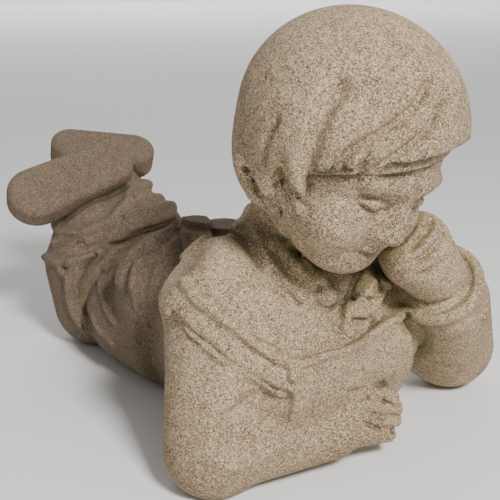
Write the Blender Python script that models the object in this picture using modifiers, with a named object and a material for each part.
"""A cast-stone garden figure: a boy lying on his front, cheek on his fist, feet crossed in the air."""

import math

import bmesh
import bpy
import numpy as np

# The finished casting, metres.
WIDTH = 0.2475
LENGTH = 0.3730
HEIGHT = 0.2462

# Crown to chin, metres. The figure is three heads long, and the places below are in heads.
HEAD = LENGTH / 2.986

# Carving, metres.
COLLAR_THICK = 0.0040
BIB_THICK = 0.0025
STRAP_WIDTH = 0.0190
STRAP_THICK = 0.0028
BUTTON_RADIUS = 0.0058
CUFF_ROLL = 0.0045
HEM_ROLL = 0.0053
SOLE_ROUND = 0.0062
FOLD_DEPTH = 0.0056
HAIR_GROOVE = 0.0038
FINGER_RADIUS = 0.0050

# Spacing of the clay surface while it is shaped, metres, and the facets it is cut down to.
ROUGH_STEP = 0.0056
FINE_STEP = 0.0032
FACETS = 9200


def turned(yaw, pitch, roll):
    """Columns are the axes of a form turned by roll about Y, pitch about X and yaw about Z, in degrees."""
    a, b, c = (math.radians(x) for x in (yaw, pitch, roll))
    about_z = np.array([[math.cos(a), -math.sin(a), 0], [math.sin(a), math.cos(a), 0], [0, 0, 1]])
    about_x = np.array([[1, 0, 0], [0, math.cos(b), -math.sin(b)], [0, math.sin(b), math.cos(b)]])
    about_y = np.array([[math.cos(c), 0, math.sin(c)], [0, 1, 0], [-math.sin(c), 0, math.cos(c)]])
    return about_z @ about_x @ about_y


UPRIGHT = np.eye(3)


class Lump:
    """An ellipsoid of clay."""

    def __init__(self, centre, radii, turn=UPRIGHT):
        self.centre, self.radii, self.turn = np.array(centre), np.array(radii), turn
        self.bound = self.radii.max()

    def reach(self, points):
        local = (points - self.centre) @ self.turn
        near = np.linalg.norm(local / self.radii, axis=1)
        slope = np.linalg.norm(local / self.radii**2, axis=1)
        return near * (near - 1) / np.maximum(slope, 1e-9)

    def beads(self):
        yield self.centre, self.radii, self.turn


class Limb:
    """A roll of clay through (x, y, z, radius) stations."""

    def __init__(self, *stations):
        self.stations = np.array(stations, float)
        self.centre = self.stations[:, :3].mean(0)
        self.bound = (np.linalg.norm(self.stations[:, :3] - self.centre, axis=1) + self.stations[:, 3]).max()

    def reach(self, points):
        found = np.full(len(points), 1e9)
        for one, two in zip(self.stations[:-1], self.stations[1:]):
            way = two[:3] - one[:3]
            share = np.clip((points - one[:3]) @ way / (way @ way), 0, 1)
            gap = np.linalg.norm(points - one[:3] - share[:, None] * way, axis=1)
            found = np.minimum(found, gap - (one[3] + share * (two[3] - one[3])))
        return found

    def beads(self):
        for one, two in zip(self.stations[:-1], self.stations[1:]):
            count = max(2, int(np.linalg.norm(two[:3] - one[:3]) / (0.35 * min(one[3], two[3]))) + 1)
            for share in np.linspace(0, 1, count):
                x, y, z, radius = one + share * (two - one)
                yield np.array([x, y, z]), np.full(3, radius), UPRIGHT


class Plate:
    """A flat piece with round ends and softened edges, from heel to toe."""

    def __init__(self, heel, toe, widths, thick, facing):
        self.heel, self.way, self.widths, self.thick = np.array(heel), np.subtract(toe, heel), widths, thick
        along = self.way / np.linalg.norm(self.way)
        self.facing = np.array(facing) - np.dot(facing, along) * along
        self.facing /= np.linalg.norm(self.facing)
        self.turn = np.array([along, np.cross(self.facing, along), self.facing]).T
        self.centre = self.heel + self.way / 2
        self.bound = np.linalg.norm(self.way) / 2 + max(widths) + thick

    def reach(self, points):
        local = points - self.heel
        share = np.clip(local @ self.way / (self.way @ self.way), 0, 1)
        local = local - share[:, None] * self.way
        rise = local @ self.facing
        width = self.widths[0] + share * (self.widths[1] - self.widths[0])
        edge = SOLE_ROUND / HEAD
        side = np.linalg.norm(local - rise[:, None] * self.facing, axis=1) - width + edge
        face = np.abs(rise) - self.thick + edge
        outside = np.hypot(np.maximum(side, 0), np.maximum(face, 0))
        return outside + np.minimum(np.maximum(side, face), 0) - edge

    def beads(self):
        for share in np.linspace(0, 1, 7):
            width = self.widths[0] + share * (self.widths[1] - self.widths[0])
            yield self.heel + share * self.way, np.array([width, width, self.thick]), self.turn


class Ring:
    """A hem rolled round a limb."""

    def __init__(self, centre, axis, across, roll):
        self.centre, self.axis = np.array(centre), np.array(axis) / np.linalg.norm(axis)
        self.across, self.roll, self.bound = across, roll, across + roll

    def reach(self, points):
        local = points - self.centre
        along = local @ self.axis
        out = np.linalg.norm(local - along[:, None] * self.axis, axis=1)
        return np.hypot(out - self.across, along) - self.roll

    def beads(self):
        return ()


def melt(a, b, soft):
    """The two distances joined with a fillet."""
    share = np.clip(0.5 + 0.5 * (b - a) / soft, 0, 1)
    return b + (a - b) * share - soft * share * (1 - share)


class Lot:
    """Forms that melt into each other; touches then work the surface."""

    def __init__(self, soft, *forms, touches=()):
        self.soft, self.forms, self.touches = soft, forms, touches
        self.centre = np.mean([form.centre for form in forms], axis=0)
        self.bound = max(np.linalg.norm(form.centre - self.centre) + form.bound for form in forms) + 0.05

    def reach(self, points):
        found = np.full(len(points), 9.0)
        for form in self.forms:
            near = np.linalg.norm(points - form.centre, axis=1) - form.bound < found + self.soft
            if near.any():
                found[near] = melt(found[near], form.reach(points[near]), self.soft)
        plain = found.copy() if self.touches else found
        for touch in self.touches:
            near = np.linalg.norm(points - touch.centre, axis=1) < touch.bound
            if near.any():
                found[near] = touch.work(points[near], found[near], plain[near])
        return found

    def beads(self):
        for form in self.forms:
            yield from form.beads()

    def touched(self, *touches):
        for touch in touches:
            touch.lay_on(self)
        return Lot(self.soft, *self.forms, touches=touches)


def laid_on(form, points, rounds=6):
    """The nearest places on a form."""
    points = np.array(points, float)
    for _ in range(rounds):
        slope = slope_of(form, points)
        size = np.maximum(np.linalg.norm(slope, axis=1, keepdims=True), 0.3)
        points = points - form.reach(points)[:, None] * slope / size**2
    return points


class Stroke:
    """A ridge, groove or flat band drawn over a form through a few places."""

    def __init__(self, places, width, height, flat=False):
        self.places, self.width, self.height, self.flat = np.array(places, float), width, height, flat

    def lay_on(self, form):
        line = []
        for one, two in zip(self.places[:-1], self.places[1:]):
            count = max(2, int(np.linalg.norm(two - one) / 0.05) + 1)
            line += [one + share * (two - one) for share in np.linspace(0, 1, count, endpoint=False)]
        self.line = laid_on(form, line + [self.places[-1]])
        self.centre = self.line.mean(0)
        self.bound = np.linalg.norm(self.line - self.centre, axis=1).max() + 2.6 * self.width

    def work(self, points, found, plain):
        gap = np.full(len(points), 9.0)
        for one, two in zip(self.line[:-1], self.line[1:]):
            way = two - one
            share = np.clip((points - one) @ way / max(way @ way, 1e-9), 0, 1)
            gap = np.minimum(gap, ((points - one - share[:, None] * way) ** 2).sum(1))
        gap = np.sqrt(np.maximum(gap - plain**2, 0))
        if self.flat:
            return melt(found, np.maximum(found - self.height, gap - self.width), 0.012)
        return found - self.height * np.exp(-((gap / self.width) ** 2))


def outline_gap(flat, corners):
    """Distance to a polygon in the plane, negative inside."""
    gap = np.full(len(flat), 9.0)
    inside = np.zeros(len(flat), bool)
    for one, two in zip(corners, np.roll(corners, -1, axis=0)):
        way = two - one
        share = np.clip((flat - one) @ way / max(way @ way, 1e-9), 0, 1)
        gap = np.minimum(gap, np.linalg.norm(flat - one - share[:, None] * way, axis=1))
        straddles = (one[1] > flat[:, 1]) != (two[1] > flat[:, 1])
        rise = way[1] if abs(way[1]) > 1e-9 else 1e-9
        inside ^= straddles & (flat[:, 0] < one[0] + (flat[:, 1] - one[1]) * way[0] / rise)
    return np.where(inside, -gap, gap)


class Patch:
    """Cloth raised inside an outline seen along a direction, on the side that faces it."""

    def __init__(self, facing, corners, thick, depth=0.35):
        self.facing = np.array(facing) / np.linalg.norm(facing)
        side = np.cross((0, 0, 1), self.facing)
        side /= np.linalg.norm(side)
        self.axes = np.array([side, np.cross(self.facing, side)]).T
        self.corners, self.thick, self.depth = np.array(corners, float), thick, depth

    def lay_on(self, form):
        self.centre = self.corners.mean(0)
        self.bound = np.linalg.norm(self.corners - self.centre, axis=1).max() + self.depth
        self.flat = self.corners @ self.axes
        self.level = (self.corners @ self.facing).min() - self.depth

    def work(self, points, found, plain):
        edge = np.maximum(outline_gap(points @ self.axes, self.flat), self.level - points @ self.facing)
        return melt(found, np.maximum(found - self.thick, edge), 0.015)


class Cut:
    """One form taken out of another."""

    def __init__(self, form, tool, soft):
        self.form, self.tool, self.soft = form, tool, soft
        self.centre, self.bound = form.centre, form.bound

    def reach(self, points):
        return -melt(-self.form.reach(points), self.tool.reach(points), self.soft)

    def beads(self):
        yield from self.form.beads()


class Opening:
    """The space below and in front of a hair line, in the head's axes."""

    def __init__(self, corners):
        self.corners = np.array(corners)

    def reach(self, points):
        local = (points - HEAD_CENTRE) @ HEAD_TURN
        front = (local[:, 1] - local[:, 2] + 0.03) * 0.7071
        return np.maximum(outline_gap(local[:, [0, 2]], self.corners), front)


HEAD_CENTRE = np.array([-0.11, -0.31, 1.47])
HEAD_TURN = turned(yaw=-2, pitch=26, roll=9)


def in_head(x, y, z):
    """A place in the head's own axes: +X its left, -Y forward, +Z to the crown."""
    return HEAD_CENTRE + HEAD_TURN @ np.array([x, y, z])


def head_lump(x, y, z, *radii):
    return Lump(in_head(x, y, z), radii, HEAD_TURN)


def head_limb(*stations):
    return Limb(*[(*in_head(x, y, z), radius) for x, y, z, radius in stations])


def head_line(*places):
    return [in_head(*place) for place in places]


def torso():
    body = Lot(
        0.12,
        Lump((0.02, 0.06, 0.55), (0.50, 0.35, 0.46)),
        Lump((0.0, 0.15, 0.78), (0.46, 0.32, 0.24)),
        Lump((0.12, -0.12, 0.42), (0.42, 0.22, 0.30)),
        Lump((0.34, -0.08, 0.62), (0.26, 0.24, 0.34)),
        Lump((-0.36, -0.04, 0.60), (0.26, 0.19, 0.30)),
        Lump((-0.36, -0.12, 0.42), (0.20, 0.16, 0.18)),
        Lump((-0.22, -0.145, 0.46), (0.30, 0.215, 0.25)),
        Lump((0.0, 0.45, 0.40), (0.42, 0.50, 0.44)),
        Lump((0.0, 0.82, 0.38), (0.44, 0.40, 0.44)),
        Lump((-0.19, 0.86, 0.52), (0.26, 0.30, 0.29)),
        Lump((0.21, 0.86, 0.52), (0.26, 0.30, 0.29)),
        Lump((-0.46, 0.08, 0.80), (0.27, 0.25, 0.22)),
        Lump((0.48, 0.08, 0.80), (0.27, 0.25, 0.22)),
        Limb((-0.02, 0.07, 0.86, 0.20), (-0.10, -0.04, 1.15, 0.18)),
        Lump((0.0, 0.10, 0.12), (0.50, 0.40, 0.30)),
    )
    flap = [
        (-0.15, -0.24, 0.80), (-0.28, -0.23, 0.73), (-0.33, -0.21, 0.80), (-0.37, -0.18, 0.87),
        (-0.40, -0.12, 0.95),
        (-0.39, 0.0, 1.01), (-0.33, 0.17, 1.02), (-0.16, 0.32, 1.0), (0.0, 0.34, 0.98), (0.24, 0.30, 1.0),
        (0.38, 0.05, 0.95), (0.28, -0.18, 0.82), (0.15, -0.20, 0.85), (-0.05, 0.0, 1.0),
    ]
    other_flap = [
        (0.10, -0.27, 0.87), (0.01, -0.29, 0.785), (-0.07, -0.30, 0.755), (-0.10, -0.30, 0.70),
        (0.03, -0.31, 0.66),
        (0.10, -0.32, 0.71), (0.26, -0.25, 0.80), (0.30, -0.12, 0.90),
    ]
    bib = [
        (-0.42, -0.32, 0.60), (-0.31, -0.33, 0.585), (-0.13, -0.36, 0.58), (-0.01, -0.36, 0.585),
        (0.10, -0.34, 0.61),
        (0.25, -0.34, 0.66), (0.40, -0.30, 0.20), (-0.42, -0.30, 0.20),
    ]
    placket = [(-0.15, -0.24, 0.81), (-0.12, -0.26, 0.77), (-0.12, -0.30, 0.72), (-0.14, -0.33, 0.62)]
    slot = [(-0.02, -0.30, 0.76), (0.05, -0.31, 0.74)]
    return body.touched(
        Patch((-0.27, -0.47, 0.84), flap, COLLAR_THICK / HEAD),
        Patch((0.1, -0.8, 0.5), other_flap, COLLAR_THICK / HEAD),
        Stroke(placket, 0.018, -0.5 * COLLAR_THICK / HEAD),
        Stroke(slot, 0.014, -0.8 * COLLAR_THICK / HEAD),
        Patch((0, -1, 0.1), bib, BIB_THICK / HEAD),
        Stroke(bib[:6], 0.02, 0.8 * BIB_THICK / HEAD),
    )


def collar_band():
    """The turned-over edge of the collar, standing round the neck."""
    places = (
        (-0.14, -0.235, 0.79), (-0.20, -0.22, 0.87), (-0.255, -0.18, 0.94), (-0.29, -0.08, 1.0),
        (-0.27, 0.08, 1.04),
        (-0.16, 0.20, 1.06), (0.0, 0.24, 1.04), (0.16, 0.18, 1.0), (0.25, 0.05, 0.95), (0.24, -0.12, 0.88),
        (0.15, -0.24, 0.83), (0.04, -0.29, 0.77),
    )
    return Lot(0.02, *[Limb((*one, 0.05), (*two, 0.05)) for one, two in zip(places[:-1], places[1:])])


def right_arm():
    return Lot(
        0.05,
        Limb((-0.50, 0.06, 0.80, 0.22), (-0.58, -0.02, 0.50, 0.20), (-0.63, -0.07, 0.165, 0.205)),
        Limb((-0.60, -0.10, 0.195, 0.20), (-0.14, -0.285, 0.185, 0.142), (-0.04, -0.315, 0.195, 0.117)),
        Lump((0.0, -0.34, 0.21), (0.14, 0.11, 0.12), turned(-22, 0, 0)),
    )


def fingers():
    """The right fist lies on its edge, so its fingers stack under the thumb."""
    radius = FINGER_RADIUS / HEAD
    rolls = [Limb((-0.14, -0.33, 0.26, 0.07), (0.0, -0.36, 0.305, 0.06), (0.09, -0.385, 0.30, 0.045))]
    for step, tip in enumerate((0.095, 0.125, 0.13, 0.10)):
        height = 0.125 + 0.058 * step
        rolls.append(Limb((0.0, -0.38, height, radius), (tip, -0.42, height, radius)))
    return Lot(0.012, *rolls)


# Between the fingers of the left fist.
KNUCKLES = (
    ((0.08, -0.50, 1.02), (0.18, -0.50, 1.08), (0.26, -0.46, 1.12)),
    ((0.08, -0.52, 0.95), (0.19, -0.54, 1.02), (0.30, -0.50, 1.07)),
    ((0.12, -0.54, 0.89), (0.23, -0.56, 0.95), (0.34, -0.52, 1.01)),
)


def left_arm():
    return Lot(
        0.06,
        Limb((0.52, 0.05, 0.80, 0.22), (0.80, 0.0, 0.30, 0.22)),
        Limb((0.91, -0.12, 0.23, 0.235), (0.57, -0.35, 0.63, 0.188)),
        Limb((0.46, -0.37, 0.70, 0.17), (0.32, -0.42, 0.86, 0.14)),
        Lump((0.22, -0.41, 0.96), (0.17, 0.15, 0.17)),
    ).touched(*[Stroke(gap, 0.016, -0.025) for gap in KNUCKLES])


def legs():
    cloth = Lot(
        0.05,
        Limb((-0.17, 0.80, 0.27, 0.29), (-0.17, 1.22, 0.27, 0.29)),
        Limb((0.22, 0.80, 0.26, 0.29), (0.24, 1.22, 0.26, 0.29)),
        Limb((-0.20, 1.59, 0.23, 0.265), (-0.21, 1.63, 0.46, 0.275), (-0.15, 1.67, 0.62, 0.25)),
        Limb((0.24, 1.62, 0.24, 0.26), (0.14, 1.63, 0.56, 0.24), (0.05, 1.86, 0.90, 0.15)),
        Lump((0.0, 1.30, 0.12), (0.32, 0.50, 0.20)),
        Lump((0.02, 1.48, 0.60), (0.30, 0.24, 0.26)),
    )
    creases = (
        (
            (0.15, 1.31, 0.70), (-0.02, 1.30, 0.69), (-0.14, 1.32, 0.65), (-0.24, 1.35, 0.61),
            (-0.29, 1.40, 0.52),
            (-0.34, 1.43, 0.43), (-0.38, 1.42, 0.33), (-0.44, 1.32, 0.22), (-0.44, 1.26, 0.10),
        ),
        ((0.15, 1.31, 0.70), (0.30, 1.37, 0.60), (0.44, 1.42, 0.42), (0.46, 1.36, 0.16)),
    )
    pleats = (
        (
            (-0.46, 1.54, 0.50), (-0.45, 1.47, 0.46), (-0.46, 1.49, 0.36), (-0.46, 1.47, 0.28),
            (-0.43, 1.42, 0.16),
        ),
        (
            (-0.34, 1.41, 0.59), (-0.41, 1.45, 0.53), (-0.43, 1.44, 0.42), (-0.43, 1.42, 0.30),
            (-0.43, 1.36, 0.18),
        ),
        ((-0.47, 1.73, 0.53), (-0.46, 1.56, 0.55), (-0.37, 1.42, 0.58), (-0.27, 1.37, 0.62)),
        (
            (-0.42, 1.66, 0.62), (-0.39, 1.56, 0.63), (-0.33, 1.48, 0.65), (-0.22, 1.42, 0.69),
            (-0.10, 1.40, 0.73),
        ),
        ((-0.02, 1.44, 0.88), (0.14, 1.44, 0.88), (0.28, 1.52, 0.86)),
        ((-0.10, 1.36, 0.80), (0.06, 1.36, 0.80), (0.20, 1.40, 0.80), (0.34, 1.48, 0.78)),
        ((-0.12, 1.34, 0.71), (0.0, 1.31, 0.72), (0.16, 1.33, 0.73)),
    )
    return cloth.touched(
        *[Stroke(crease, 0.035, -1.1 * FOLD_DEPTH / HEAD) for crease in creases],
        *[Stroke(pleat, 0.024, 0.7 * FOLD_DEPTH / HEAD) for pleat in pleats],
    )


def shoes():
    return Lot(
        0.02,
        Plate((-0.05, 1.68, 1.01), (-0.50, 1.70, 0.90), (0.15, 0.162), 0.085, (-0.10, -0.65, 0.80)),
        Plate((0.26, 1.90, 1.00), (-0.06, 2.08, 1.05), (0.135, 0.13), 0.095, (0.10, -0.55, 0.85)),
    )


def hems():
    return Lot(
        0.01,
        Ring((0.42, -0.39, 0.755), (-0.45, -0.15, 0.5), 0.172, CUFF_ROLL / HEAD),
        Lump((-0.14, 1.67, 0.775), (0.285, 0.285, 1.8 * HEM_ROLL / HEAD), turned(0, 5, -22)),
        Lump((0.10, 1.80, 0.78), (0.22, 0.22, 1.8 * HEM_ROLL / HEAD), turned(0, -24, -11)),
    )


def hair():
    """A smooth bowl of hair swept across the brow over a shorter fringe."""
    swept = [
        (-0.60, -0.14), (-0.42, -0.10), (-0.37, -0.03), (-0.33, 0.04), (-0.27, 0.08), (-0.17, 0.14),
        (-0.06, 0.18),
        (0.08, 0.215), (0.18, 0.22), (0.28, 0.20), (0.37, 0.13), (0.45, -0.05), (0.60, -0.14),
        (0.60, -0.90), (-0.60, -0.90),
    ]
    fringe = [
        (-0.60, -0.16), (-0.42, -0.12), (-0.36, -0.07), (-0.30, 0.0), (-0.24, 0.045), (-0.15, 0.085),
        (-0.05, 0.12),
        (0.08, 0.15), (0.18, 0.16), (0.27, 0.14), (0.36, 0.07), (0.45, -0.10), (0.60, -0.16),
        (0.60, -0.90), (-0.60, -0.90),
    ]
    cap = Lot(
        0.06,
        head_lump(0.005, 0.03, 0.06, 0.455, 0.462, 0.428),
        head_lump(0, 0.12, -0.13, 0.37, 0.31, 0.33),
    )
    grooves = (
        (
            (-0.08, -0.24, 0.41), (-0.15, -0.28, 0.33), (-0.22, -0.29, 0.27), (-0.28, -0.28, 0.21),
            (-0.34, -0.25, 0.09),
        ),
        ((-0.16, -0.36, 0.24), (-0.22, -0.34, 0.20), (-0.27, -0.32, 0.15), (-0.30, -0.31, 0.10)),
        ((-0.06, -0.34, 0.32), (-0.13, -0.36, 0.25), (-0.20, -0.37, 0.18), (-0.27, -0.34, 0.10)),
    )
    parting = ((-0.35, -0.11, 0.27), (-0.39, -0.14, 0.16), (-0.40, -0.16, 0.08), (-0.38, -0.17, -0.04))
    dressed = cap.touched(
        *[Stroke(head_line(*groove), 0.018, -HAIR_GROOVE / HEAD) for groove in grooves],
        Stroke(head_line(*parting), 0.035, -HAIR_GROOVE / HEAD),
    )
    bowl = Cut(dressed, Opening(swept), 0.02)
    under = Cut(head_lump(-0.015, 0.02, 0.05, 0.395, 0.415, 0.40), Opening(fringe), 0.02)
    locks = (
        head_limb((-0.37, -0.10, 0.0, 0.05), (-0.345, -0.15, -0.12, 0.035), (-0.305, -0.18, -0.21, 0.018)),
        head_limb((-0.33, 0.12, -0.20, 0.07), (-0.28, 0.07, -0.31, 0.042), (-0.23, -0.01, -0.335, 0.022)),
        head_limb((0.20, -0.22, 0.28, 0.05), (0.24, -0.305, 0.21, 0.012)),
    )
    return Lot(0.015, bowl, under, *locks)


def face():
    forms = [
        head_lump(-0.01, 0.02, 0.03, 0.37, 0.395, 0.38),
        head_lump(0, -0.07, -0.18, 0.315, 0.30, 0.30),
        head_lump(0, -0.20, -0.36, 0.18, 0.15, 0.12),
        head_limb((0, -0.36, -0.03, 0.028), (0, -0.40, -0.175, 0.042)),
    ]
    for side in (-1, 1):
        forms.append(head_lump(side * 0.16, -0.23, -0.21, 0.13, 0.12, 0.13))
        forms.append(head_limb((side * 0.05, -0.365, 0.02, 0.03), (side * 0.20, -0.31, 0.02, 0.03)))
        forms.append(head_lump(side * 0.038, -0.37, -0.19, 0.03, 0.03, 0.024))
    skin = Lot(0.04, *forms)
    for side in (-1, 1):
        skin = Cut(skin, head_lump(side * 0.125, -0.40, -0.07, 0.075, 0.05, 0.04), 0.03)
    lids = [head_lump(side * 0.125, -0.305, -0.075, 0.065, 0.05, 0.042) for side in (-1, 1)]
    lips = Lot(
        0.008,
        head_lump(0, -0.33, -0.290, 0.075, 0.032, 0.020),
        head_lump(0, -0.325, -0.328, 0.060, 0.032, 0.022),
    )
    ears = [head_lump(side * 0.345, 0.0, -0.18, 0.045, 0.08, 0.11) for side in (-1, 1)]
    return Lot(0.015, skin, lips, *lids, *ears)


def figure():
    clothed = Lot(0.04, torso(), right_arm(), left_arm(), legs())
    strap = [
        (-0.06, 0.80, 0.84), (-0.24, 0.52, 0.86), (-0.46, 0.28, 0.94), (-0.65, 0.12, 0.92),
        (-0.74, 0.03, 0.85),
        (-0.725, -0.04, 0.835), (-0.71, -0.10, 0.78), (-0.665, -0.165, 0.73), (-0.61, -0.21, 0.67),
        (-0.51, -0.25, 0.595),
        (-0.44, -0.31, 0.525),
    ]
    rim = [
        (-0.70, 0.06, 0.94), (-0.71, -0.03, 0.91), (-0.70, -0.09, 0.86), (-0.65, -0.16, 0.80),
        (-0.60, -0.20, 0.74),
        (-0.50, -0.24, 0.67), (-0.42, -0.30, 0.60),
    ]
    other = [
        (-0.02, 0.80, 0.84), (0.22, 0.52, 0.86), (0.44, 0.28, 0.95), (0.60, 0.06, 0.98),
        (0.60, -0.12, 0.86),
    ]
    hip = (
        (-0.26, 0.60, 0.83), (-0.40, 0.66, 0.64), (-0.42, 0.69, 0.48), (-0.42, 0.71, 0.30),
        (-0.40, 0.73, 0.08),
    )
    seat = (
        (-0.46, 0.93, 0.60), (-0.41, 0.95, 0.69), (-0.38, 0.89, 0.75), (-0.30, 0.84, 0.80),
        (-0.16, 0.86, 0.83),
    )
    rump = (
        (-0.43, 0.80, 0.60), (-0.41, 0.82, 0.69), (-0.36, 0.78, 0.75), (-0.29, 0.74, 0.79),
        (-0.18, 0.72, 0.82),
    )
    elbow = (
        (-0.49, -0.26, 0.46), (-0.58, -0.22, 0.42), (-0.64, -0.21, 0.40), (-0.68, -0.21, 0.36),
        (-0.69, -0.22, 0.30),
    )
    sleeve = ((0.25, -0.36, 0.61), (0.35, -0.42, 0.55), (0.47, -0.54, 0.59), (0.60, -0.55, 0.63))
    dressed = clothed.touched(
        Stroke(other, STRAP_WIDTH / HEAD / 2, STRAP_THICK / HEAD, flat=True),
        Stroke(hip, 0.06, -FOLD_DEPTH / HEAD),
        Stroke(seat, 0.026, 0.8 * FOLD_DEPTH / HEAD),
        Stroke(rump, 0.026, 0.8 * FOLD_DEPTH / HEAD),
        Stroke(elbow, 0.03, -0.7 * FOLD_DEPTH / HEAD),
        Stroke(sleeve, 0.035, -0.4 * FOLD_DEPTH / HEAD),
        Stroke(strap, STRAP_WIDTH / HEAD / 2, STRAP_THICK / HEAD, flat=True),
        Stroke(rim, 0.018, STRAP_THICK / HEAD),
    )
    button = laid_on(dressed, [(-0.43, -0.33, 0.54)])[0]
    facing = slope_of(dressed, button[None])[0]
    return Lot(
        0.012,
        Lot(0.02, dressed, collar_band()),
        Plate(button, button + (0, 0, 0.001), (BUTTON_RADIUS / HEAD, BUTTON_RADIUS / HEAD), 0.014, facing),
        fingers(),
        shoes(),
        hems(),
        face(),
        hair(),
    )


def rough_out(form, step):
    """The forms as overlapping spheres, fused by a voxel remesh."""
    shape = bmesh.new()
    for centre, radii, turn in form.beads():
        ball = bmesh.ops.create_icosphere(shape, subdivisions=2, radius=1)["verts"]
        grown = radii * 1.02 + 0.01
        for vertex in ball:
            vertex.co = centre + turn @ (np.array(vertex.co) * grown)
    return remeshed(shape, step)


def remeshed(shape, step):
    mesh = bpy.data.meshes.new("clay")
    shape.to_mesh(mesh)
    shape.free()
    clay = bpy.data.objects.new("clay", mesh)
    bpy.context.scene.collection.objects.link(clay)
    remesh = clay.modifiers.new("remesh", "REMESH")
    remesh.mode = "VOXEL"
    remesh.voxel_size = step
    remesh.use_smooth_shade = True
    evaluated = clay.evaluated_get(bpy.context.evaluated_depsgraph_get())
    fused = bpy.data.meshes.new_from_object(evaluated)
    bpy.data.objects.remove(clay)
    return largest_piece(fused)


def largest_piece(mesh):
    """Drops what a remesh leaves inside closed hollows."""
    shape = bmesh.new()
    shape.from_mesh(mesh)
    left, pieces = set(shape.verts), []
    while left:
        stack, piece = [left.pop()], []
        while stack:
            vertex = stack.pop()
            piece.append(vertex)
            for edge in vertex.link_edges:
                other = edge.other_vert(vertex)
                if other in left:
                    left.remove(other)
                    stack.append(other)
        pieces.append(piece)
    pieces.sort(key=len)
    for piece in pieces[:-1]:
        bmesh.ops.delete(shape, geom=piece, context="VERTS")
    shape.to_mesh(mesh)
    shape.free()
    return mesh


def points_of(mesh):
    points = np.empty(len(mesh.vertices) * 3, np.float32)
    mesh.vertices.foreach_get("co", points)
    return points.reshape(-1, 3).astype(float)


def slope_of(form, points, step=1e-3):
    found = np.empty_like(points)
    for axis in range(3):
        move = np.zeros(3)
        move[axis] = step
        found[:, axis] = form.reach(points + move) - form.reach(points - move)
    return found / (2 * step)


def settle(mesh, form, rounds, relax=0.4):
    """Draws every vertex onto the form along its normal, evening the mesh as it goes."""
    most = math.sqrt(sum(face.area for face in mesh.polygons) / len(mesh.polygons))
    ends = np.empty(len(mesh.edges) * 2, np.int32)
    mesh.edges.foreach_get("vertices", ends)
    ends = ends.reshape(-1, 2)
    count = np.bincount(ends.ravel(), minlength=len(mesh.vertices))[:, None]
    for turn in range(rounds):
        points = points_of(mesh)
        normal = np.empty(points.size, np.float32)
        mesh.vertex_normals.foreach_get("vector", normal)
        normal = normal.reshape(-1, 3).astype(float)
        if turn < rounds - 1:
            middle = np.empty_like(points)
            for axis in range(3):
                total = np.bincount(ends[:, 0], points[ends[:, 1], axis], len(points))
                total += np.bincount(ends[:, 1], points[ends[:, 0], axis], len(points))
                middle[:, axis] = total
            drift = middle / count - points
            drift -= (drift * normal).sum(1, keepdims=True) * normal
            points = points + relax * drift
        off = np.clip(form.reach(points)[:, None], -most, most)
        points = points - 0.9 * off * normal
        mesh.vertices.foreach_set("co", points.astype(np.float32).ravel())
        mesh.update()
    return mesh


def cut_down(mesh, facets):
    """Fewer, larger triangles where the form is plain."""
    clay = bpy.data.objects.new("clay", mesh)
    bpy.context.scene.collection.objects.link(clay)
    sheet = clay.modifiers.new("facets", "TRIANGULATE")
    sheet.quad_method = "BEAUTY"
    thin = clay.modifiers.new("thin", "DECIMATE")
    thin.ratio = facets / (2 * len(mesh.polygons))
    evaluated = clay.evaluated_get(bpy.context.evaluated_depsgraph_get())
    thinned = bpy.data.meshes.new_from_object(evaluated)
    bpy.data.objects.remove(clay)
    return thinned


def stand_flat(mesh):
    """Planes the underside off at the ground and closes it."""
    shape = bmesh.new()
    shape.from_mesh(mesh)
    bmesh.ops.bisect_plane(
        shape,
        geom=shape.verts[:] + shape.edges[:] + shape.faces[:],
        dist=1e-4,
        plane_co=(0, 0, 0),
        plane_no=(0, 0, -1),
        clear_outer=True,
    )
    rim = [edge for edge in shape.edges if edge.is_boundary]
    bmesh.ops.triangle_fill(shape, edges=rim, use_beauty=True, use_dissolve=False)
    bmesh.ops.dissolve_degenerate(shape, dist=1e-4, edges=shape.edges[:])
    bmesh.ops.triangulate(shape, faces=shape.faces[:])
    bmesh.ops.recalc_face_normals(shape, faces=shape.faces[:])
    shape.to_mesh(mesh)
    shape.free()
    return mesh


def to_metres(mesh):
    """Brings the mesh to its finished size, with the middle of its underside at the origin."""
    points = points_of(mesh)
    low, high = points.min(0), points.max(0)
    points -= ((low[0] + high[0]) / 2, (low[1] + high[1]) / 2, low[2])
    points *= (WIDTH, LENGTH, HEIGHT) / (high - low)
    mesh.vertices.foreach_set("co", points.astype(np.float32).ravel())
    mesh.update()
    return mesh


def stone():
    material = bpy.data.materials.new("stone")
    material.use_nodes = True
    surface = material.node_tree.nodes["Principled BSDF"]
    surface.inputs["Base Color"].default_value = (0.36, 0.29, 0.20, 1)
    surface.inputs["Roughness"].default_value = 0.92
    return material


def clear_scene():
    for thing in list(bpy.data.objects):
        bpy.data.objects.remove(thing)


def main():
    clear_scene()
    form = figure()
    mesh = settle(rough_out(form, ROUGH_STEP / HEAD), form, 6)
    shape = bmesh.new()
    shape.from_mesh(mesh)
    mesh = settle(remeshed(shape, FINE_STEP / HEAD), form, 8)
    mesh = to_metres(stand_flat(cut_down(mesh, FACETS)))
    mesh.name = "boy"
    mesh.materials.clear()
    mesh.materials.append(stone())
    statue = bpy.data.collections.new("boy statue")
    bpy.context.scene.collection.children.link(statue)
    statue.objects.link(bpy.data.objects.new("boy", mesh))


if __name__ == "__main__":
    main()
